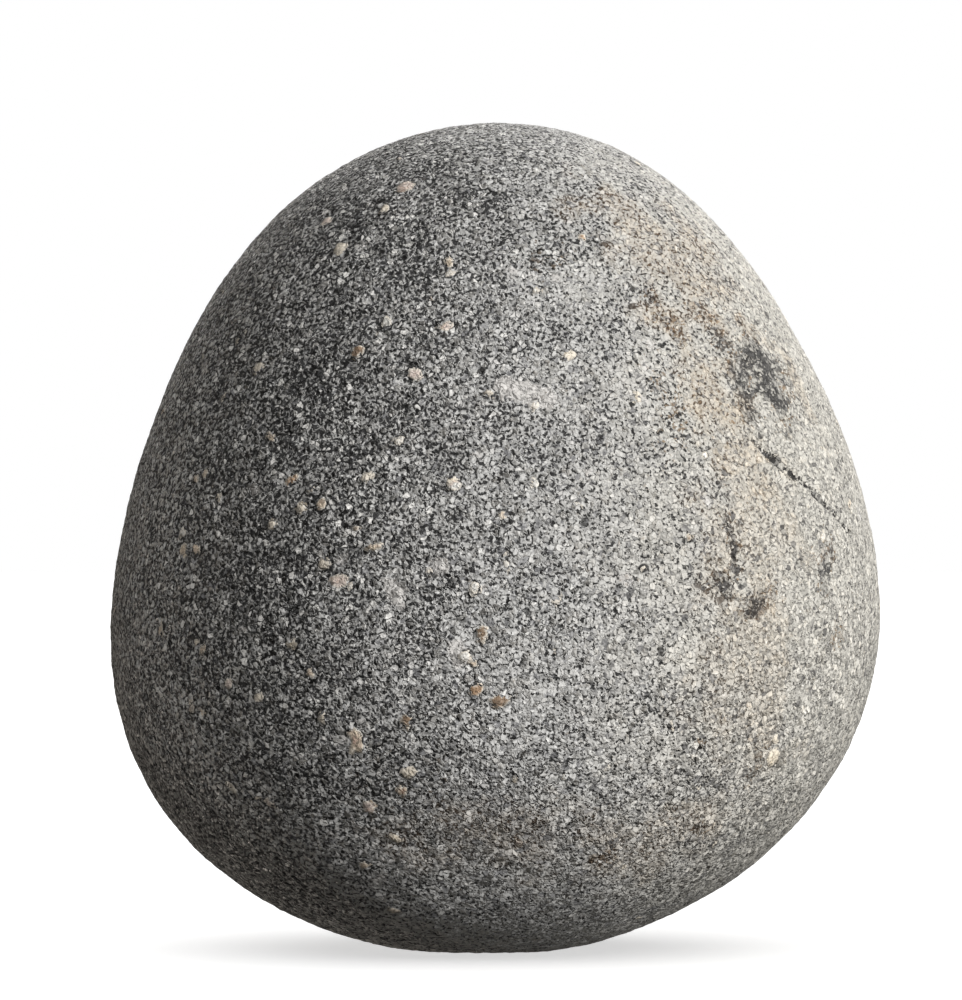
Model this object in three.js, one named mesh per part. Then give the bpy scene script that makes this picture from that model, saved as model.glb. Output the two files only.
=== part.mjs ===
// River pebble: one hard, fine-grained stone, tumbled round and standing on its broad end.
// Millimetres, +Z up, +X to the right, -Y to the front. The origin lies on the surface that the
// stone rests on, under the middle of its box.

import * as THREE from "three";
import { mergeVertices } from "three/addons/utils/BufferGeometryUtils.js";

// Driving dimensions.
const HEIGHT = 64;
const WIDTH = 59.6;
const DEPTH = 51.6;
const BASE_WEAR = 0.6; // how much the resting flat takes off the round underside
const BASE_SOFTNESS = 0.06;

// The round body before it is worn, as a sphere that is scaled level by level. A level runs from
// -1 at the bottom to 1 at the top. Each row holds a value at mid height, then how it changes with
// the level and with the level's square, cube and fourth power.
// The half width and half depth, as shares of WIDTH / 2 and DEPTH / 2: broad below, narrow above.
const WIDTH_SHARE = [0.98, -0.2, 0.04, 0.09, 0.01];
const DEPTH_SHARE = [0.98, -0.19, 0.06, 0.06, 0.03];
// The middle of the level, in millimetres: the underside swings left, and the crown sits back.
const MIDDLE_X = [0.1, 0.2, -2.2, 0.5, 1.7];
const MIDDLE_Y = [0, 0.9, -0.5];

// Broad faces that the river wore. Each looks along its direction, takes its depth off the round
// body there, and blends into it over its softness.
const WORN_FACES = [
  { name: "lower front", towards: [-0.05, -0.8, -0.6], depth: 0.6, softness: 1.8 },
  { name: "broad back", towards: [0.15, 0.98, 0.12], depth: 1.5, softness: 2.4 },
  { name: "back left shoulder", towards: [-0.5, 0.72, 0.48], depth: 1.0, softness: 2.2 },
  { name: "back right heel", towards: [0.48, 0.74, -0.47], depth: 1.1, softness: 2.2 },
];

const ROUNDNESS = 17; // how often each edge of the starting icosahedron is split

function atLevel(terms, level) {
  return terms.reduceRight((sum, term) => sum * level + term, 0);
}

// A point of the round body for a point of the unit sphere.
function roundBody(onSphere) {
  const level = onSphere.z;
  return new THREE.Vector3(
    atLevel(MIDDLE_X, level) + onSphere.x * (WIDTH / 2) * atLevel(WIDTH_SHARE, level),
    atLevel(MIDDLE_Y, level) + onSphere.y * (DEPTH / 2) * atLevel(DEPTH_SHARE, level),
    HEIGHT / 2 + (level * (HEIGHT + BASE_WEAR) - BASE_WEAR) / 2,
  );
}

// How far a height over a worn face is taken down: nothing well below it, all of it well above
// it, and a smooth turn of twice the softness between them.
function takenDown(over, softness) {
  if (over <= -softness) return 0;
  if (over >= softness) return over;
  return (over + softness) ** 2 / (4 * softness);
}

function wearDown(points, direction, reach, softness) {
  for (const point of points) {
    const over = point.dot(direction) - reach;
    point.addScaledVector(direction, -takenDown(over, softness));
  }
}

function wearFaces(points) {
  for (const { towards, depth, softness } of WORN_FACES) {
    const direction = new THREE.Vector3(...towards).normalize();
    const reach = Math.max(...points.map((point) => point.dot(direction))) - depth;
    wearDown(points, direction, reach, softness);
  }
}

// Moves the points sideways, so that the middle of their box stands over the origin.
function centre(points) {
  const middle = new THREE.Box3().setFromPoints(points).getCenter(new THREE.Vector3());
  for (const point of points) point.sub(middle.setZ(0));
}

function pebbleGeometry() {
  const sphere = new THREE.IcosahedronGeometry(1, ROUNDNESS);
  sphere.deleteAttribute("normal");
  sphere.deleteAttribute("uv");
  const geometry = mergeVertices(sphere, 1e-5);
  const places = geometry.getAttribute("position");
  const points = Array.from({ length: places.count }, (_, i) =>
    roundBody(new THREE.Vector3().fromBufferAttribute(places, i)),
  );
  wearFaces(points);
  centre(points);
  // The resting flat is worn last, on the level that the stone stands on.
  wearDown(points, new THREE.Vector3(0, 0, -1), 0, BASE_SOFTNESS);
  points.forEach((point, i) => places.setXYZ(i, point.x, point.y, point.z));
  geometry.computeVertexNormals();
  return geometry;
}

const stone = new THREE.MeshStandardMaterial({
  color: 0x7d7c78,
  roughness: 0.82,
  metalness: 0,
});

const pebble = new THREE.Mesh(pebbleGeometry(), stone);
pebble.name = "river_pebble";

const riverPebble = new THREE.Group();
riverPebble.add(pebble);

export default riverPebble;
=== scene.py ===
"""The looks of a river pebble: a fine-grained grey stone with flecks, pits, stains and a crack.

Metres, +Z up, front towards -Y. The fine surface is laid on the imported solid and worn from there.
"""

import math
import random

import bmesh
import bpy
import numpy as np
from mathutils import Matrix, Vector, noise
from mathutils.bvhtree import BVHTree


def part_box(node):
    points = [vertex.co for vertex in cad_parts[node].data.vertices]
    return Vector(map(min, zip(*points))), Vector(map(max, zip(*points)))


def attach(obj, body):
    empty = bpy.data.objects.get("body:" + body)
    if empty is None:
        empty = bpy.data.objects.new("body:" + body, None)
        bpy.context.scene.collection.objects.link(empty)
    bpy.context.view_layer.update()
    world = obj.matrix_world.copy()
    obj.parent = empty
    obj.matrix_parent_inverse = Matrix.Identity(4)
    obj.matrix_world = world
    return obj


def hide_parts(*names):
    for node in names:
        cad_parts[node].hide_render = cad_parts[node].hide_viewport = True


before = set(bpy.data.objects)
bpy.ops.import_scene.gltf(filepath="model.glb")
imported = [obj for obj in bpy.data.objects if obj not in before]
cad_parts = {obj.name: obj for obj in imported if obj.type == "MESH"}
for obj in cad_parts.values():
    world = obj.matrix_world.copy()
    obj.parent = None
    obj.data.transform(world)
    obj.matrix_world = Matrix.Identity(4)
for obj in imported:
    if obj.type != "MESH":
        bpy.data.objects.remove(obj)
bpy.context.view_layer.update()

NODE = "river_pebble"
MM = 0.001
SEED = 7

LOW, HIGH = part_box(NODE)
MIDDLE = (LOW + HIGH) / 2
CAMERA_PLACE = Vector((-1.1, -431, 34.7)) * MM  # it looks level, along +Y


# ---------------------------------------------------------------- the marks on the stone

# Each mark is an oval, and its row begins with where the camera sees it against the upright plane
# through the stone's middle: how far to the right of the middle, and how far above the ground.
# Then come its length and width, in millimetres, and how its length is turned, in degrees.

# Flecks are single coarse grains that stand a little proud. The last column is the mineral.
MINERALS = {"brown": 0.0, "rust": 0.2, "tan": 0.4, "cream": 0.6, "pink": 0.8, "white": 1.0}
FLECKS = [
    (-24.2, 30.8, 1.2, 0.9, 70, "tan"),
    (-23.2, 30.9, 1.0, 0.9, 100, "tan"),
    (-23.6, 18.7, 1.0, 0.6, 80, "pink"),
    (-22.7, 18.2, 0.8, 0.6, 60, "rust"),
    (-26.0, 24.7, 1.1, 0.7, 90, "tan"),
    (-23.2, 23.6, 0.8, 0.5, 60, "cream"),
    (-20.6, 20.4, 0.9, 0.6, 100, "pink"),
    (-18.3, 19.4, 1.0, 0.8, 70, "cream"),
    (-23.3, 36.2, 0.8, 0.7, 90, "tan"),
    (-21.1, 42.6, 0.8, 0.5, 60, "cream"),
    (-19.9, 47.1, 0.8, 0.6, 50, "cream"),
    (-18.3, 45.0, 1.2, 0.7, 40, "cream"),
    (-17.4, 39.6, 1.0, 0.6, 120, "tan"),
    (-15.8, 36.2, 1.2, 0.7, 35, "rust"),
    (-15.1, 34.0, 1.1, 0.9, 130, "cream"),
    (-13.6, 34.3, 1.0, 0.8, 70, "tan"),
    (-17.3, 32.8, 0.9, 0.8, 0, "cream"),
    (-13.2, 29.7, 1.1, 0.9, 0, "cream"),
    (-12.1, 28.4, 1.6, 1.2, 20, "pink"),
    (-9.9, 36.5, 1.1, 0.9, 60, "cream"),
    (-9.4, 31.1, 1.3, 0.8, 170, "tan"),
    (-7.6, 39.2, 1.0, 0.7, 20, "white"),
    (-3.4, 36.2, 0.9, 0.7, 0, "cream"),
    (-10.7, 46.2, 1.1, 0.9, 60, "brown"),
    (-8.5, 48.5, 1.0, 0.7, 100, "white"),
    (-6.3, 44.5, 1.4, 1.0, 150, "pink"),
    (-3.9, 48.1, 1.3, 0.9, 10, "pink"),
    (-3.6, 53.1, 0.9, 0.6, 90, "tan"),
    (-7.0, 59.0, 1.6, 1.3, 0, "pink"),
    (-8.6, 57.3, 1.1, 0.8, 40, "cream"),
    (-13.1, 56.3, 1.1, 0.9, 60, "pink"),
    (-12.0, 54.2, 1.2, 1.0, 90, "cream"),
    (-1.6, 27.9, 1.2, 0.9, 70, "white"),
    (-0.9, 24.2, 1.3, 0.9, 80, "brown"),
    (-1.5, 19.9, 1.2, 0.9, 60, "rust"),
    (0.3, 19.1, 1.4, 0.9, 10, "brown"),
    (-7.0, 17.4, 1.1, 0.8, 80, "brown"),
    (-10.7, 16.0, 2.2, 1.1, 110, "tan"),
    (-13.4, 17.8, 1.1, 0.7, 100, "cream"),
    (-15.8, 23.5, 1.0, 0.7, 60, "cream"),
    (-14.4, 21.4, 0.9, 0.7, 90, "tan"),
    (-6.7, 13.6, 1.4, 1.0, 20, "cream"),
    (-7.3, 12.0, 1.1, 0.8, 70, "tan"),
    (-9.7, 10.9, 1.2, 1.0, 110, "pink"),
    (-7.8, 8.5, 1.2, 0.9, 130, "cream"),
    (-10.1, 6.4, 1.1, 0.8, 30, "tan"),
    (-7.8, 2.9, 1.4, 0.9, 0, "tan"),
    (-17.5, 11.2, 1.2, 0.7, 150, "pink"),
    (-20.6, 12.5, 1.1, 0.8, 120, "cream"),
    (6.7, 55.0, 0.9, 0.7, 60, "rust"),
    (3.2, 51.0, 1.0, 0.7, 100, "white"),
    (5.8, 45.9, 1.0, 0.9, 0, "cream"),
    (1.0, 29.2, 1.9, 0.35, 105, "white"),
    (21.5, 14.7, 1.6, 1.4, 60, "cream"),
]
MORE_FLECKS = 140  # small ones, anywhere on the stone
MORE_FLECK_SIZES = (0.45, 1.0)
MORE_FLECK_MINERALS = ["cream", "cream", "white", "white", "tan", "pink", "brown"]

# Pits. The last column is how deep each is.
PITS = [
    (18.6, 30.2, 1.2, 0.5, 110, 0.25),
    (16.1, 27.9, 1.5, 0.6, 150, 0.25),
    (17.6, 27.0, 1.4, 0.8, 170, 0.2),
    (20.7, 26.1, 2.0, 0.9, 40, 0.2),
    (20.2, 14.4, 1.6, 0.5, 70, 0.3),
    (19.8, 13.2, 1.0, 0.6, 0, 0.2),
    (23.4, 19.9, 1.0, 0.6, 45, 0.2),
    (0.7, 6.1, 1.6, 0.6, 60, 0.2),
    (-5.0, 59.3, 1.6, 0.5, 60, 0.25),
    (10.7, 51.2, 0.9, 0.6, 30, 0.2),
    (10.7, 49.8, 1.0, 0.6, 20, 0.2),
    (12.0, 50.0, 0.8, 0.6, 60, 0.2),
    (15.9, 15.3, 0.9, 0.5, 130, 0.2),
]
MORE_PITS = 120
MORE_PIT_SIZES = (0.5, 0.9)
MORE_PIT_SLIMNESS = (0.5, 0.9)
MORE_PIT_DEPTHS = (0.08, 0.18)

# Dark stains: grains that are nearly black, closer together the stronger the stain. In this table
# and the next two, the last column is how strong the stain or patch is.
SOOTS = [
    (20.9, 44.7, 6.2, 4.3, 100, 1.35),
    (19.4, 43.1, 4.6, 3.2, 90, 1.15),
    (22.1, 42.5, 4.2, 2.8, 85, 1.2),
    (17.2, 47.8, 4.0, 2.8, 120, 0.8),
    (13.4, 48.4, 3.6, 2.0, 160, 0.55),
    (12.0, 50.4, 1.6, 1.2, 40, 0.8),
    (13.2, 43.4, 5.0, 2.6, 110, 0.4),
    (25.6, 29.8, 4.4, 2.2, 75, 1.2),
    (18.4, 31.2, 4.6, 1.6, 95, 1.25),
    (17.6, 28.0, 3.0, 1.8, 140, 1.3),
    (20.5, 26.6, 3.4, 2.0, 20, 1.2),
    (13.6, 41.6, 6.0, 4.0, 60, 0.5),
    (4.2, 53.6, 4.0, 3.0, 30, 0.5),
    (26.6, 24.4, 3.6, 1.8, 80, 0.6),
    (20.1, 13.8, 3.4, 1.6, 75, 0.65),
    (15.9, 15.8, 1.8, 1.0, 20, 0.6),
    (15.7, 9.1, 2.2, 1.2, 150, 0.6),
    (8.0, 6.9, 2.8, 1.6, 20, 0.65),
    (-5.4, 60.2, 3.0, 1.4, 60, 0.6),
    (-9.0, 57.2, 5.0, 3.0, 60, 0.4),
    (-16.5, 30.5, 12.0, 9.0, 80, 0.3),
    (-14.0, 44.0, 9.0, 6.0, 100, 0.3),
    (-9.0, 12.0, 10.0, 6.0, 20, 0.3),
]
# Tan stains.
TANS = [
    (17.4, 41.6, 9.0, 5.0, 95, 1.0),
    (16.8, 48.6, 5.0, 3.0, 150, 0.8),
    (23.6, 43.4, 6.0, 2.0, 95, 0.8),
    (20.0, 38.0, 6.0, 4.0, 120, 0.8),
    (13.2, 48.4, 4.0, 2.6, 160, 0.9),
    (20.6, 26.4, 4.0, 2.6, 60, 0.9),
    (20.0, 22.0, 14.0, 9.0, 95, 0.5),
    (20.0, 32.0, 11.0, 8.0, 90, 0.5),
    (13.6, 54.0, 14.0, 7.0, 130, 0.8),
    (1.0, 8.4, 14.0, 6.0, 0, 0.6),
    (12.0, 8.0, 12.0, 6.0, 30, 0.6),
    (8.5, 7.0, 4.0, 2.4, 10, 0.6),
]
# Smooth, pale patches.
PALES = [
    (2.6, 42.9, 4.6, 1.7, 165, 1.1),
    (-7.8, 27.6, 2.2, 1.3, 130, 1.0),
    (-4.2, 29.6, 1.8, 1.3, 10, 1.0),
    (-2.8, 22.8, 2.4, 1.6, 150, 1.1),
    (-10.4, 17.4, 1.6, 1.0, 30, 0.5),
    (-3.6, 42.2, 1.6, 1.1, 60, 0.4),
]
MORE_PALES = 120
MORE_PALE_SIZES = (0.7, 1.6)
MORE_PALE_STRENGTHS = (0.4, 0.8)

# The crack's course: each row says where it passes, as for a mark, and half its width there.
CRACK = [
    (20.0, 39.4, 0.04),
    (20.8, 38.6, 0.12),
    (21.5, 38.0, 0.27),
    (22.1, 37.5, 0.32),
    (22.6, 37.1, 0.1),
    (23.1, 36.7, 0.22),
    (23.7, 36.3, 0.2),
    (24.3, 35.8, 0.12),
    (24.9, 35.1, 0.2),
    (25.6, 34.4, 0.15),
    (26.3, 33.7, 0.08),
    (27.2, 32.7, 0.14),
    (27.8, 31.8, 0.02),
]

# How far a fleck stands up, how far the moat round it and the crack go down, and how far the
# edges of the marks wander.
FLECK_HEIGHT = 0.07 * MM
MOAT_DEPTH = 0.08 * MM
CRACK_DEPTH = 0.35 * MM
FLECK_RAGGED = 0.2 * MM
PIT_RAGGED = 0.15 * MM
CRACK_RAGGED = 0.15 * MM


# ---------------------------------------------------------------- the stone's surface

EDGE_CUTS = 98  # cuts of each edge of the starting icosahedron, for edges of about 0.35 mm
SMOOTHING = 2  # levels that take the facets off the solid

# Relief that covers the whole stone: the width of its waves, and how far it goes up or down.
ROLLS = {"width": 9 * MM, "height": 0.07 * MM}
LUMPS = {"width": 2.0 * MM, "height": 0.05 * MM}
GRIT = {"width": 0.7 * MM, "height": 0.05 * MM}


def smooth_solid():
    """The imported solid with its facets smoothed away, ready to be measured along a line."""
    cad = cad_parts[NODE]
    shape = bmesh.new()
    shape.from_mesh(cad.data)
    bmesh.ops.remove_doubles(shape, verts=shape.verts[:], dist=0.001 * MM)
    mesh = bpy.data.meshes.new("smooth_solid")
    shape.to_mesh(mesh)
    shape.free()
    guide = bpy.data.objects.new("smooth_solid", mesh)
    bpy.context.scene.collection.objects.link(guide)
    smooth = guide.modifiers.new("smooth", "SUBSURF")
    smooth.levels = SMOOTHING
    smooth.render_levels = SMOOTHING
    solid = BVHTree.FromObject(guide, bpy.context.evaluated_depsgraph_get())
    bpy.data.objects.remove(guide)
    bpy.data.meshes.remove(mesh)
    return solid


def fine_skin(solid):
    """An even net of small triangles, laid on the smooth solid."""
    skin = bmesh.new()
    bmesh.ops.create_icosphere(skin, subdivisions=1, radius=1)
    bmesh.ops.subdivide_edges(skin, edges=skin.edges[:], cuts=EDGE_CUTS, use_grid_fill=True)
    for vertex in skin.verts:
        vertex.co = solid.ray_cast(MIDDLE, vertex.co.normalized())[0]
    skin.normal_update()
    return skin


def waves(points, width, shift=0.0):
    """Soft noise from about -1 to 1, with waves of that width."""
    shifted = points / width + shift
    return np.array([noise.noise(Vector(point)) for point in shifted])


def humps(points, width):
    """Rounded humps with sharp gaps between them, from 0 in a gap to about 1 on top."""
    scaled = points / width
    nearest = np.array([noise.voronoi(Vector(point))[0][0] for point in scaled])
    return 1 - np.minimum(nearest, 1)


def smooth_rise(value, start, end):
    share = np.clip((value - start) / (end - start), 0, 1)
    return share * share * (3 - 2 * share)


class Mark:
    """An oval on the stone's surface."""

    def __init__(self, centre, normal, length, width, turn):
        self.centre = np.array(centre)
        upright = Vector((0, 0, 1)).cross(normal).normalized()
        along = Vector(normal).cross(upright)
        angle = math.radians(turn)
        self.along = np.array(upright * math.cos(angle) + along * math.sin(angle))
        self.across = np.cross(np.array(normal), self.along)
        self.half_length = length / 2 * MM
        self.half_width = width / 2 * MM

    def depth(self, points):
        """How far inside the oval each point is, in metres, and below 0 outside it."""
        offset = points - self.centre
        out = np.linalg.norm(offset, axis=1) - self.half_length
        along = offset @ self.along / self.half_length
        across = offset @ self.across / self.half_width
        oval = np.hypot(along, across)
        return np.where(out > self.half_length, -out, (1 - oval) * self.half_width)


def front_point(solid, right, up):
    """The place and normal of the front where the camera sees that point of the middle plane."""
    direction = Vector((right * MM, 0, up * MM)) - CAMERA_PLACE
    place, normal, _, _ = solid.ray_cast(CAMERA_PLACE, direction)
    return place, normal


def front_mark(solid, right, up, length, width, turn):
    place, normal = front_point(solid, right, up)
    return Mark(place, normal, length, width, turn)


def scattered_mark(solid, chance, sizes, slimness=(0.55, 0.9)):
    """An oval anywhere on the stone."""
    direction = Vector([chance.gauss(0, 1) for _ in range(3)]).normalized()
    place, normal, _, _ = solid.ray_cast(MIDDLE, direction)
    length = chance.uniform(*sizes)
    return Mark(place, normal, length, length * chance.uniform(*slimness), chance.uniform(0, 180))


def nearest_mark(marks, points, values):
    """Over all marks, the largest depth at each point, and the value of the mark it belongs to."""
    deepest = np.full(len(points), -1.0)
    value = np.zeros(len(points))
    for mark, own_value in zip(marks, values):
        depth = mark.depth(points)
        closer = depth > deepest
        deepest[closer] = depth[closer]
        value[closer] = own_value
    return deepest, value


def stains(marks, strengths, points, ragged):
    """How strongly stains of one kind colour each point, from 0 to 1."""
    strength = np.zeros(len(points))
    for mark, most in zip(marks, strengths):
        depth = mark.depth(points) + ragged * mark.half_width
        here = most * smooth_rise(depth, -0.5 * mark.half_width, 0.6 * mark.half_width)
        strength = np.maximum(strength, here)
    return strength


def front_stains(solid, rows, points, ragged):
    marks = [front_mark(solid, *row[:5]) for row in rows]
    strengths = [row[5] for row in rows]
    return stains(marks, strengths, points, ragged)


def crack_depth(solid, points):
    """How far inside the crack each point is, in metres, and below 0 outside it."""
    depth = np.full(len(points), -1.0)
    stops = [(np.array(front_point(solid, right, up)[0]), half * MM) for right, up, half in CRACK]
    for (start, start_half), (end, end_half) in zip(stops, stops[1:]):
        course = end - start
        share = np.clip((points - start) @ course / (course @ course), 0, 1)
        off = np.linalg.norm(points - start - share[:, None] * course, axis=1)
        half = start_half + share * (end_half - start_half)
        depth = np.maximum(depth, half - off)
    return depth


def worn_surface(solid, points):
    """The relief at each point, and what the finish needs to know of the marks there."""
    chance = random.Random(SEED)
    ragged = waves(points, 0.7 * MM, shift=12.3)

    fleck_marks = [front_mark(solid, *row[:5]) for row in FLECKS]
    fleck_tones = [MINERALS[row[5]] for row in FLECKS]
    for _ in range(MORE_FLECKS):
        fleck_marks.append(scattered_mark(solid, chance, MORE_FLECK_SIZES))
        fleck_tones.append(MINERALS[chance.choice(MORE_FLECK_MINERALS)])
    fleck, tone = nearest_mark(fleck_marks, points, fleck_tones)
    fleck = fleck + FLECK_RAGGED * ragged

    pit_marks = [front_mark(solid, *row[:5]) for row in PITS]
    pit_depths = [row[5] * MM for row in PITS]
    for _ in range(MORE_PITS):
        pit_marks.append(scattered_mark(solid, chance, MORE_PIT_SIZES, MORE_PIT_SLIMNESS))
        pit_depths.append(chance.uniform(*MORE_PIT_DEPTHS) * MM)
    pit, pit_depth = nearest_mark(pit_marks, points, pit_depths)
    pit = pit + PIT_RAGGED * ragged

    pale_marks = [front_mark(solid, *row[:5]) for row in PALES]
    pale_strengths = [row[5] for row in PALES]
    for _ in range(MORE_PALES):
        pale_marks.append(scattered_mark(solid, chance, MORE_PALE_SIZES))
        pale_strengths.append(chance.uniform(*MORE_PALE_STRENGTHS))

    crack = crack_depth(solid, points) + CRACK_RAGGED * ragged

    grit = humps(points, GRIT["width"])
    height = ROLLS["height"] * waves(points, ROLLS["width"])
    height += LUMPS["height"] * waves(points, LUMPS["width"], shift=31.7)
    height += GRIT["height"] * (2 * grit - 1) * (1 - smooth_rise(fleck, -0.2 * MM, 0.1 * MM))
    height += FLECK_HEIGHT * smooth_rise(fleck, -0.1 * MM, 0.3 * MM)
    moat = smooth_rise(fleck, -0.5 * MM, -0.2 * MM) - smooth_rise(fleck, -0.2 * MM, 0.05 * MM)
    height -= MOAT_DEPTH * moat
    height -= pit_depth * smooth_rise(pit, -0.2 * MM, 0.3 * MM)
    height -= CRACK_DEPTH * smooth_rise(crack, -0.3 * MM, 0.25 * MM)

    return height, {
        "grit": grit,
        "fleck": fleck / MM,
        "mineral": tone,
        "pit": pit / MM,
        "crack": crack / MM,
        "soot": front_stains(solid, SOOTS, points, 0.7 * waves(points, 1.6 * MM) + 0.6 * ragged),
        "tan": front_stains(solid, TANS, points, 1.2 * waves(points, 2.4 * MM) + 0.5 * ragged),
        "pale": stains(pale_marks, pale_strengths, points, 0.6 * waves(points, 1.1 * MM)),
    }


def pebble():
    solid = smooth_solid()
    skin = fine_skin(solid)
    points = np.array([vertex.co for vertex in skin.verts])
    normals = np.array([vertex.normal for vertex in skin.verts])
    height, marks = worn_surface(solid, points)
    places = points + normals * height[:, None]
    places[:, 2] = np.maximum(places[:, 2], LOW.z)
    for vertex, place in zip(skin.verts, places):
        vertex.co = place
    mesh = bpy.data.meshes.new("stone")
    skin.to_mesh(mesh)
    skin.free()
    mesh.shade_smooth()
    for name, values in marks.items():
        layer = mesh.attributes.new(name, "FLOAT", "POINT")
        layer.data.foreach_set("value", values.astype(np.float32))
    stone = bpy.data.objects.new("stone", mesh)
    bpy.context.scene.collection.objects.link(stone)
    return stone


# ---------------------------------------------------------------- shader building


class Wire:
    """A value that varies over the surface. Sums on it add Math nodes."""

    def __init__(self, finish, socket):
        self.finish = finish
        self.socket = socket

    def beside(self, name):
        """Another output of the same node."""
        return Wire(self.finish, self.socket.node.outputs[name])

    def maths(self, operation, *terms):
        return self.finish.node("ShaderNodeMath", {"operation": operation}, dict(enumerate(terms)))

    def __add__(self, other):
        return self.maths("ADD", self, other)

    def __sub__(self, other):
        return self.maths("SUBTRACT", self, other)

    def __rsub__(self, other):
        return self.maths("SUBTRACT", other, self)

    def __mul__(self, other):
        return self.maths("MULTIPLY", self, other)

    def largest(self, other):
        return self.maths("MAXIMUM", self, other)


class Finish:
    """A material and its nodes."""

    def __init__(self, name):
        self.material = bpy.data.materials.new(name)
        self.material.use_nodes = True
        self.tree = self.material.node_tree
        self.tree.nodes.clear()

    def node(self, kind, settings=None, sockets=None, output=0):
        """Adds a node: first its settings, then the values or links of its sockets."""
        made = self.tree.nodes.new(kind)
        for name, setting in (settings or {}).items():
            if name == "stops":
                set_stops(made.color_ramp, setting)
            else:
                setattr(made, name, setting)
        for name, value in (sockets or {}).items():
            if isinstance(value, Wire):
                self.tree.links.new(value.socket, made.inputs[name])
            else:
                made.inputs[name].default_value = value
        return Wire(self, made.outputs[output]) if made.outputs else None

    def mix(self, share, below, above, blend="MIX"):
        """A colour between two colours, or one colour laid on another."""
        settings = {"data_type": "RGBA", "blend_type": blend}
        sockets = {0: share, 6: below, 7: above}
        return self.node("ShaderNodeMix", settings, sockets, output=2)

    def rise(self, value, start, end):
        """0 up to start, 1 from end on, and a smooth rise between them."""
        settings = {"interpolation_type": "SMOOTHSTEP"}
        sockets = {"Value": value, "From Min": start, "From Max": end}
        return self.node("ShaderNodeMapRange", settings, sockets)

    def waves(self, place, width, detail=2.0, roughness=0.5, output="Fac"):
        sockets = {"Vector": place, "Scale": 1 / width, "Detail": detail, "Roughness": roughness}
        return self.node("ShaderNodeTexNoise", {}, sockets, output)

    def cells(self, place, width, feature="F1"):
        sockets = {"Vector": place, "Scale": 1 / width}
        return self.node("ShaderNodeTexVoronoi", {"feature": feature}, sockets, "Distance")

    def channel(self, colour, name):
        return self.node("ShaderNodeSeparateColor", {}, {"Color": colour}, output=name)

    def vectors(self, operation, *terms, output=0):
        settings = {"operation": operation}
        return self.node("ShaderNodeVectorMath", settings, dict(enumerate(terms)), output)

    def pushed(self, place, width, reach):
        """The same place, pushed about by soft noise."""
        push = self.waves(place, width, detail=0, output="Color")
        push = self.vectors("SUBTRACT", push, (0.5,) * 3)
        return self.vectors("MULTIPLY_ADD", push, (reach,) * 3, place)

    def of_mark(self, name):
        return self.node("ShaderNodeAttribute", {"attribute_name": name}, {}, output="Fac")


class Grains:
    """Angular grains that fill the stone. Each has a tone, a second chance value and a tilt."""

    def __init__(self, finish, place, width):
        own = finish.cells(place, width)
        colour = own.beside("Color")
        self.tone = finish.channel(colour, "Red")
        self.chance = finish.channel(colour, "Green")
        lean = finish.vectors("SUBTRACT", colour, (0.5,) * 3)
        off = finish.vectors("SUBTRACT", place, own.beside("Position"))
        self.tilt = finish.vectors("DOT_PRODUCT", lean, off, output="Value")


def between(share, low, high):
    """A value between two values."""
    return low + (high - low) * share


def set_stops(ramp, stops):
    while len(ramp.elements) < len(stops):
        ramp.elements.new(1)
    for element, (position, colour) in zip(ramp.elements, stops):
        element.position = position
        element.color = (*colour, 1)


def grey(level, warmth=0.0):
    """A grey of that level, a little towards yellow."""
    return (level * (1 + warmth), level, level * (1 - warmth), 1)


# ---------------------------------------------------------------- the stone's finish

# Widths in millimetres.
COARSE_GRAIN = 0.42
FINE_GRAIN = 0.2
HOLE = 0.27
CRUMB = 0.2
PATCH = 3.4
ONE_SIDE = 0.9
UNEVENNESS = {"width": 0.4, "reach": 0.24}

# Where, in millimetres to the right of the middle, the stone gets worn and fully lit, so that the
# painted shade and painted highlights of its left side fall away; warm; and rid of some of its dirt
# and painted shade.
WORN_AND_FULLY_LIT = (-20, 12)
WARM = (0, 22)
LESS_DIRT_AND_SHADE = (13, 25)
WANDER = 14  # how far the patches move the first two

# Relief in the finish, in millimetres.
GRAIN_TILT = 2.2
WORN_TILT = 0.9  # less by this where the stone is worn
SEAM_DEPTH = 0.02
GAP_DEPTH = 0.12
CRUMB_HEIGHT = 0.1
CRYSTAL_HEIGHT = 0.06
FLECK_BULGE = 0.12

GRAIN_TONES = [
    (0.0, (0.13, 0.13, 0.135)),
    (0.1, (0.24, 0.24, 0.245)),
    (0.22, (0.43, 0.43, 0.425)),
    (0.75, (0.51, 0.51, 0.505)),
    (0.92, (0.6, 0.595, 0.58)),
]
CRACK_COLOUR = (0.025, 0.023, 0.022, 1)
CRYSTAL_AND_GLINT_COLOUR = (0.68, 0.67, 0.65, 1)
WARM_TINT = (1.03, 1.0, 0.93, 1)
TAN_TINT = (0.97, 0.9, 0.82, 1)
# The colour that darkens dirt and painted shade: grey, and brown where the stone is stained tan.
GREY_DIRT_AND_SHADE = (0.05, 0.05, 0.052, 1)
BROWN_DIRT_AND_SHADE = (0.25, 0.17, 0.11, 1)
BROWN_TINT = (0.42, 0.33, 0.25, 1)
SOOT_TINT = (0.15, 0.15, 0.16, 1)
PALE_PATCH = grey(0.55, 0.03)
FLECK_RIM = (0.6, 0.56, 0.5, 1)
MINERAL_COLOURS = [
    (0.0, (0.27, 0.19, 0.13)),
    (0.2, (0.42, 0.28, 0.18)),
    (0.4, (0.6, 0.5, 0.4)),
    (0.6, (0.7, 0.64, 0.55)),
    (0.8, (0.66, 0.57, 0.52)),
    (1.0, (0.7, 0.69, 0.66)),
]


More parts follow.
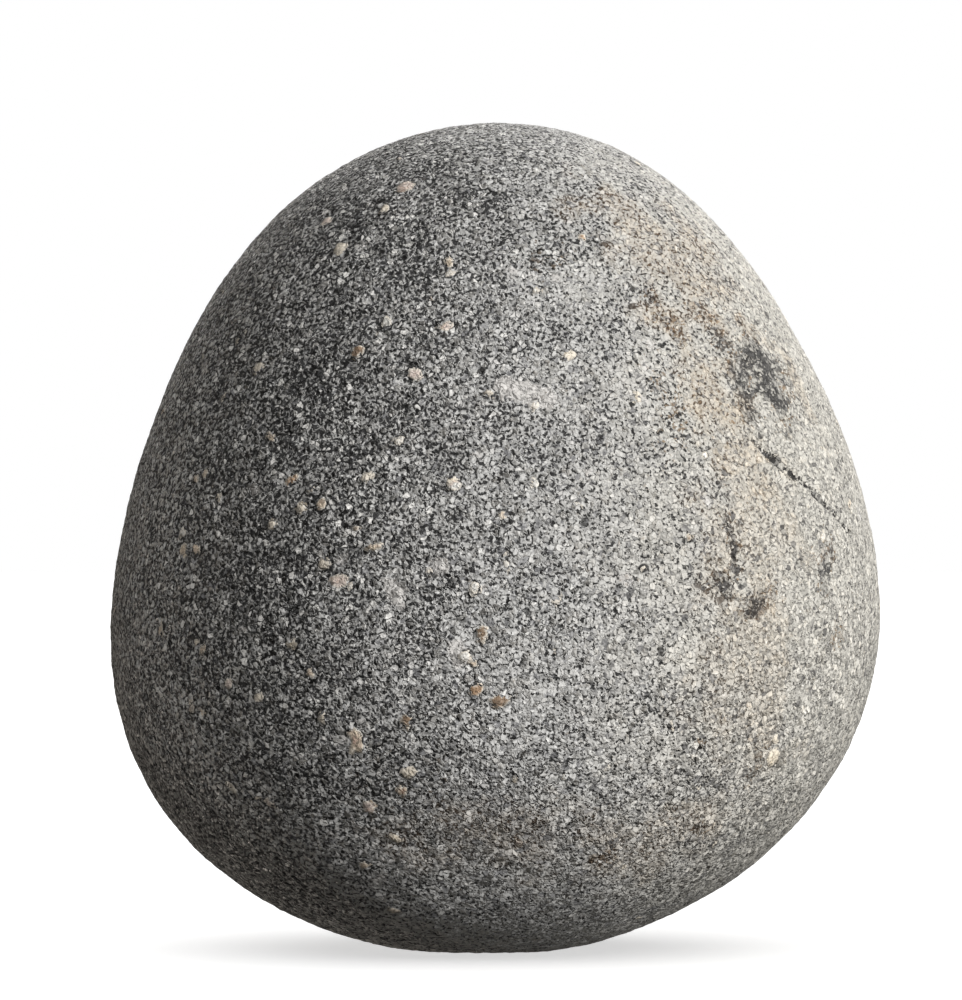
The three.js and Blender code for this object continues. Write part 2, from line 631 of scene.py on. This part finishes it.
def stone_finish():
    finish = Finish("stone")
    own = finish.node("ShaderNodeTexCoord", output="Object")
    # From here on a width is in millimetres, and the pattern's middle is the stone's.
    place = finish.node(
        "ShaderNodeMapping",
        {"vector_type": "POINT"},
        {"Vector": own, "Location": -MIDDLE / MM, "Scale": (1 / MM,) * 3},
    )

    # Grains: coarse ones among finer ones, each with its own tone and its own tilt, and open gaps
    # between some of them.
    uneven = finish.pushed(place, **UNEVENNESS)
    coarse = Grains(finish, uneven, COARSE_GRAIN)
    fine = Grains(finish, uneven, FINE_GRAIN)
    crumb = finish.waves(place, CRUMB, detail=0)
    patches = finish.waves(place, PATCH, detail=4, roughness=0.6)
    is_coarse = finish.rise(coarse.chance + (patches - 0.5) * 0.9, 0.45, 0.5)
    to_edge = finish.cells(uneven, COARSE_GRAIN, "DISTANCE_TO_EDGE")
    seam = finish.rise(to_edge, 0.14, 0.0) * is_coarse
    hole = finish.waves(uneven, HOLE, detail=1.5, roughness=0.6)

    # The right side is worn smoother than the left, and is warmer. It is also paler, because the
    # left, where the light grazes, gets painted shade: a darker tone and more dark gaps, for the
    # shadows its grains would cast. The left gets painted highlights too, on its bright grains and
    # crystals.
    right = finish.node("ShaderNodeSeparateXYZ", {}, {"Vector": place}, output="X")
    wander = (patches - 0.5) * WANDER
    worn_and_fully_lit = finish.rise(right + wander - right.beside("Z") * 0.25, *WORN_AND_FULLY_LIT)
    stained = finish.of_mark("soot")
    open_stone = hole + to_edge * 0.25 + (patches - 0.5) * 0.13 - stained * 0.05
    gap = finish.rise(open_stone, 0.64 - worn_and_fully_lit * 0.14, 0.46 - worn_and_fully_lit * 0.11)

    # Pale crystals stand out here and there. Towards the left they are twice as strong, a painted
    # highlight on grains that catch the grazing light.
    crystal_and_glint = finish.rise(to_edge, 0.02, 0.1) * finish.rise(coarse.chance, 0.9, 0.92)
    crystal_and_glint = crystal_and_glint * (1 - worn_and_fully_lit * 0.5)

    own_tone = between(is_coarse, fine.tone, coarse.tone)
    bright = finish.rise(fine.chance, 0.78, 0.84)
    # Bright grains get a painted highlight, stronger towards the left, where they catch the grazing
    # light; and the tone is a little darker towards the left, a painted shade.
    tone = own_tone + (patches - 0.5) * 0.4 + bright * (0.3 - worn_and_fully_lit * 0.15)
    tone = tone + (crumb - 0.5) * 0.25 - (1 - worn_and_fully_lit) * 0.03
    colour = finish.node("ShaderNodeValToRGB", {"stops": GRAIN_TONES}, {"Fac": tone})
    colour = finish.mix(crystal_and_glint * 0.8, colour, CRYSTAL_AND_GLINT_COLOUR)

    warmth = finish.rise(right + wander, *WARM)
    colour = finish.mix(warmth, colour, finish.mix(1.0, colour, WARM_TINT, "MULTIPLY"))

    # Marks. Their edges follow the grains.
    edge = own_tone - 0.5
    tan = finish.of_mark("tan")
    tanned = tan * (edge * 0.8 + 0.8)
    colour = finish.mix(tanned, colour, finish.mix(1.0, colour, TAN_TINT, "MULTIPLY"))
    pale = finish.rise(finish.of_mark("pale") + edge * 0.5, 0.3, 0.7)
    colour = finish.mix(pale * 0.8, colour, PALE_PATCH)
    soot = finish.rise(stained + edge * 1.3 + (crumb - 0.5) * 0.8, 0.55, 1.05)
    soot = soot * (1 - bright.largest(finish.rise(coarse.chance, 0.78, 0.82)) * 0.7)
    heart = finish.rise(stained, 0.5, 1.0).largest(1 - worn_and_fully_lit)
    soot_tint = finish.mix(heart, BROWN_TINT, SOOT_TINT)
    colour = finish.mix(soot, colour, finish.mix(1.0, colour, soot_tint, "MULTIPLY"))

    inside = finish.of_mark("fleck") + edge * 0.28
    fleck = finish.rise(inside, 0.0, 0.05)
    core = finish.rise(inside, 0.05, 0.22)
    mineral = finish.node(
        "ShaderNodeValToRGB", {"stops": MINERAL_COLOURS}, {"Fac": finish.of_mark("mineral")}
    )
    mineral = finish.mix(core, FLECK_RIM, mineral)
    mineral = finish.mix(0.5, mineral, finish.mix(1.0, mineral, colour, "OVERLAY"))
    colour = finish.mix(fleck, colour, mineral)

    # Darker in the gaps, in the pits and in the crack, and in the low places between the grit
    # humps. The darkening of the low places is painted shade; that of the gaps is dirt and painted
    # shade, more of it towards the left, where the light grazes.
    hollow_shade = finish.rise(finish.of_mark("grit"), 0.5, 0.2)
    pit = finish.rise(finish.of_mark("pit") + edge * 0.3, 0.0, 0.1)
    crack = finish.rise(finish.of_mark("crack") + edge * 0.5 + (crumb - 0.5) * 0.6, -0.04, 0.08)
    # Painted shade in the gaps and in the low places between the grit humps, stronger towards the
    # left.
    dirt_and_shade = gap.largest(seam * 0.3).largest(hollow_shade * (0.45 - worn_and_fully_lit * 0.3))
    dirt_and_shade = dirt_and_shade * (1 - fleck * 0.7) * (1 - pale * 0.5) * (1 - crystal_and_glint)
    # Painted shadow: a dark line just outside a fleck, on one side only, as if the proud grain
    # shaded the stone beside it.
    one_side = finish.rise(finish.waves(place, ONE_SIDE, detail=0), 0.48, 0.6)
    crevice_shadow = finish.rise(inside, -0.22, -0.06) * (1 - fleck) * one_side
    dirt_and_shade = dirt_and_shade.largest(crevice_shadow).largest(pit * 0.9)
    # Less of the dirt and painted shade on the right.
    dirt_and_shade = dirt_and_shade * (1 - finish.rise(right, *LESS_DIRT_AND_SHADE) * 0.65)
    dirt_and_shade_tint = finish.mix(tan, GREY_DIRT_AND_SHADE, BROWN_DIRT_AND_SHADE)
    colour = finish.mix(dirt_and_shade, colour, finish.mix(1.0, colour, dirt_and_shade_tint, "MULTIPLY"))
    colour = finish.mix(crack, colour, CRACK_COLOUR)

    tilt = between(is_coarse, fine.tilt, coarse.tilt)
    relief = tilt * (GRAIN_TILT - worn_and_fully_lit * WORN_TILT) - seam * SEAM_DEPTH - gap * GAP_DEPTH
    relief = relief + crumb * CRUMB_HEIGHT + crystal_and_glint * CRYSTAL_HEIGHT
    relief = relief * (1 - fleck * 0.6) * (1 - pale * 0.5)
    relief = relief + finish.rise(inside, -0.1, 0.2) * FLECK_BULGE
    bump = finish.node(
        "ShaderNodeBump", {}, {"Height": relief, "Distance": MM, "Strength": 1.0}, "Normal"
    )
    rough = 0.85 - finish.rise(tone, 0.2, 1.0) * 0.15 - bright * 0.35
    shader = finish.node(
        "ShaderNodeBsdfPrincipled",
        {},
        {"Base Color": colour, "Roughness": rough, "Normal": bump, "Specular IOR Level": 0.5},
    )
    finish.node("ShaderNodeOutputMaterial", {}, {"Surface": shader})
    return finish.material


def floor_finish():
    finish = Finish("floor")
    shader = finish.node(
        "ShaderNodeBsdfPrincipled",
        {},
        {
            "Base Color": grey(0.9),
            "Roughness": 0.9,
            "Specular IOR Level": 0.1,
            "Emission Color": grey(1.0),
            "Emission Strength": FLOOR_GLOW,
        },
    )
    finish.node("ShaderNodeOutputMaterial", {}, {"Surface": shader})
    return finish.material


# ---------------------------------------------------------------- the studio

FLOOR_HALF = 2.2
CAMERA_LENS = 200
LIGHT_DISTANCE = 0.9
FLOOR_LIGHT = 2.4
FLOOR_GLOW = 0.6
OVERHEAD_ANGLE = 120
ROOM_COLOUR = (1.0, 0.95, 0.88, 1)
ROOM_LIGHT = 0.08

# Each light on the stone: how far it is turned from straight in front towards the right, how far
# it is raised, its size, its power and its colour.
SOFTBOXES = {
    "key": (56, 17, 0.5, 10.8, (1.0, 0.99, 0.97)),
    "front": (5, 38, 0.3, 4.0, (1.0, 0.98, 0.95)),
    "left": (-128, -14, 0.5, 2.3, (1.0, 0.9, 0.79)),
    "back": (172, 30, 0.8, 8.5, (1.0, 0.98, 0.95)),
}


def floor():
    plane = bmesh.new()
    bmesh.ops.create_grid(plane, x_segments=1, y_segments=1, size=FLOOR_HALF)
    mesh = bpy.data.meshes.new("floor")
    plane.to_mesh(mesh)
    plane.free()
    ground = bpy.data.objects.new("floor", mesh)
    bpy.context.scene.collection.objects.link(ground)
    mesh.materials.append(floor_finish())
    ground.visible_diffuse = False
    ground.visible_glossy = False
    ground.visible_shadow = False
    return ground


def aimed(name, data, place, target):
    thing = bpy.data.objects.new(name, data)
    bpy.context.scene.collection.objects.link(thing)
    thing.location = place
    thing.rotation_euler = (target - place).to_track_quat("-Z", "Y").to_euler()
    return thing


def light_only(lamp, thing):
    """The lamp lights nothing but that thing."""
    lit = bpy.data.collections.new(f"lit_by_{lamp.name}")
    lit.objects.link(thing)
    lamp.light_linking.receiver_collection = lit


def softbox(name, turn, rise, size, power, colour):
    """A round light aimed at the stone."""
    light = bpy.data.lights.new(name, "AREA")
    light.shape = "DISK"
    light.size = size
    light.energy = power
    light.color = colour
    turn = math.radians(turn)
    rise = math.radians(rise)
    across = math.cos(rise)
    direction = Vector((across * math.sin(turn), -across * math.cos(turn), math.sin(rise)))
    return aimed(name, light, MIDDLE + direction * LIGHT_DISTANCE, MIDDLE)


def lights(ground, subject):
    for name, settings in SOFTBOXES.items():
        light_only(softbox(name, *settings), subject)

    # A wide overhead light for the floor alone keeps it white, with a soft shadow at the stone.
    overhead = bpy.data.lights.new("overhead", "SUN")
    overhead.angle = math.radians(OVERHEAD_ANGLE)
    overhead.energy = FLOOR_LIGHT
    lamp = aimed("overhead", overhead, Vector((0, 0, 1)), Vector((0, 0, 0)))
    light_only(lamp, ground)


def surroundings():
    world = bpy.data.worlds.new("studio")
    bpy.context.scene.world = world
    world.use_nodes = True
    tree = world.node_tree
    tree.nodes.clear()
    path = tree.nodes.new("ShaderNodeLightPath")
    dim = tree.nodes.new("ShaderNodeBackground")
    dim.inputs["Color"].default_value = ROOM_COLOUR
    dim.inputs["Strength"].default_value = ROOM_LIGHT
    white = tree.nodes.new("ShaderNodeBackground")
    white.inputs["Color"].default_value = (1, 1, 1, 1)
    mixed = tree.nodes.new("ShaderNodeMixShader")
    out = tree.nodes.new("ShaderNodeOutputWorld")
    tree.links.new(path.outputs["Is Camera Ray"], mixed.inputs[0])
    tree.links.new(dim.outputs[0], mixed.inputs[1])
    tree.links.new(white.outputs[0], mixed.inputs[2])
    tree.links.new(mixed.outputs[0], out.inputs["Surface"])


def camera():
    data = bpy.data.cameras.new("camera")
    data.lens = CAMERA_LENS
    data.clip_start = 0.01
    data.clip_end = 10
    eye = aimed("camera", data, CAMERA_PLACE, CAMERA_PLACE + Vector((0, 1, 0)))
    bpy.context.scene.camera = eye


stone = pebble()
stone.data.materials.append(stone_finish())
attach(stone, "root")
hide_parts(NODE)

camera()
lights(floor(), stone)
surroundings()
bpy.context.scene.view_settings.view_transform = "Standard"
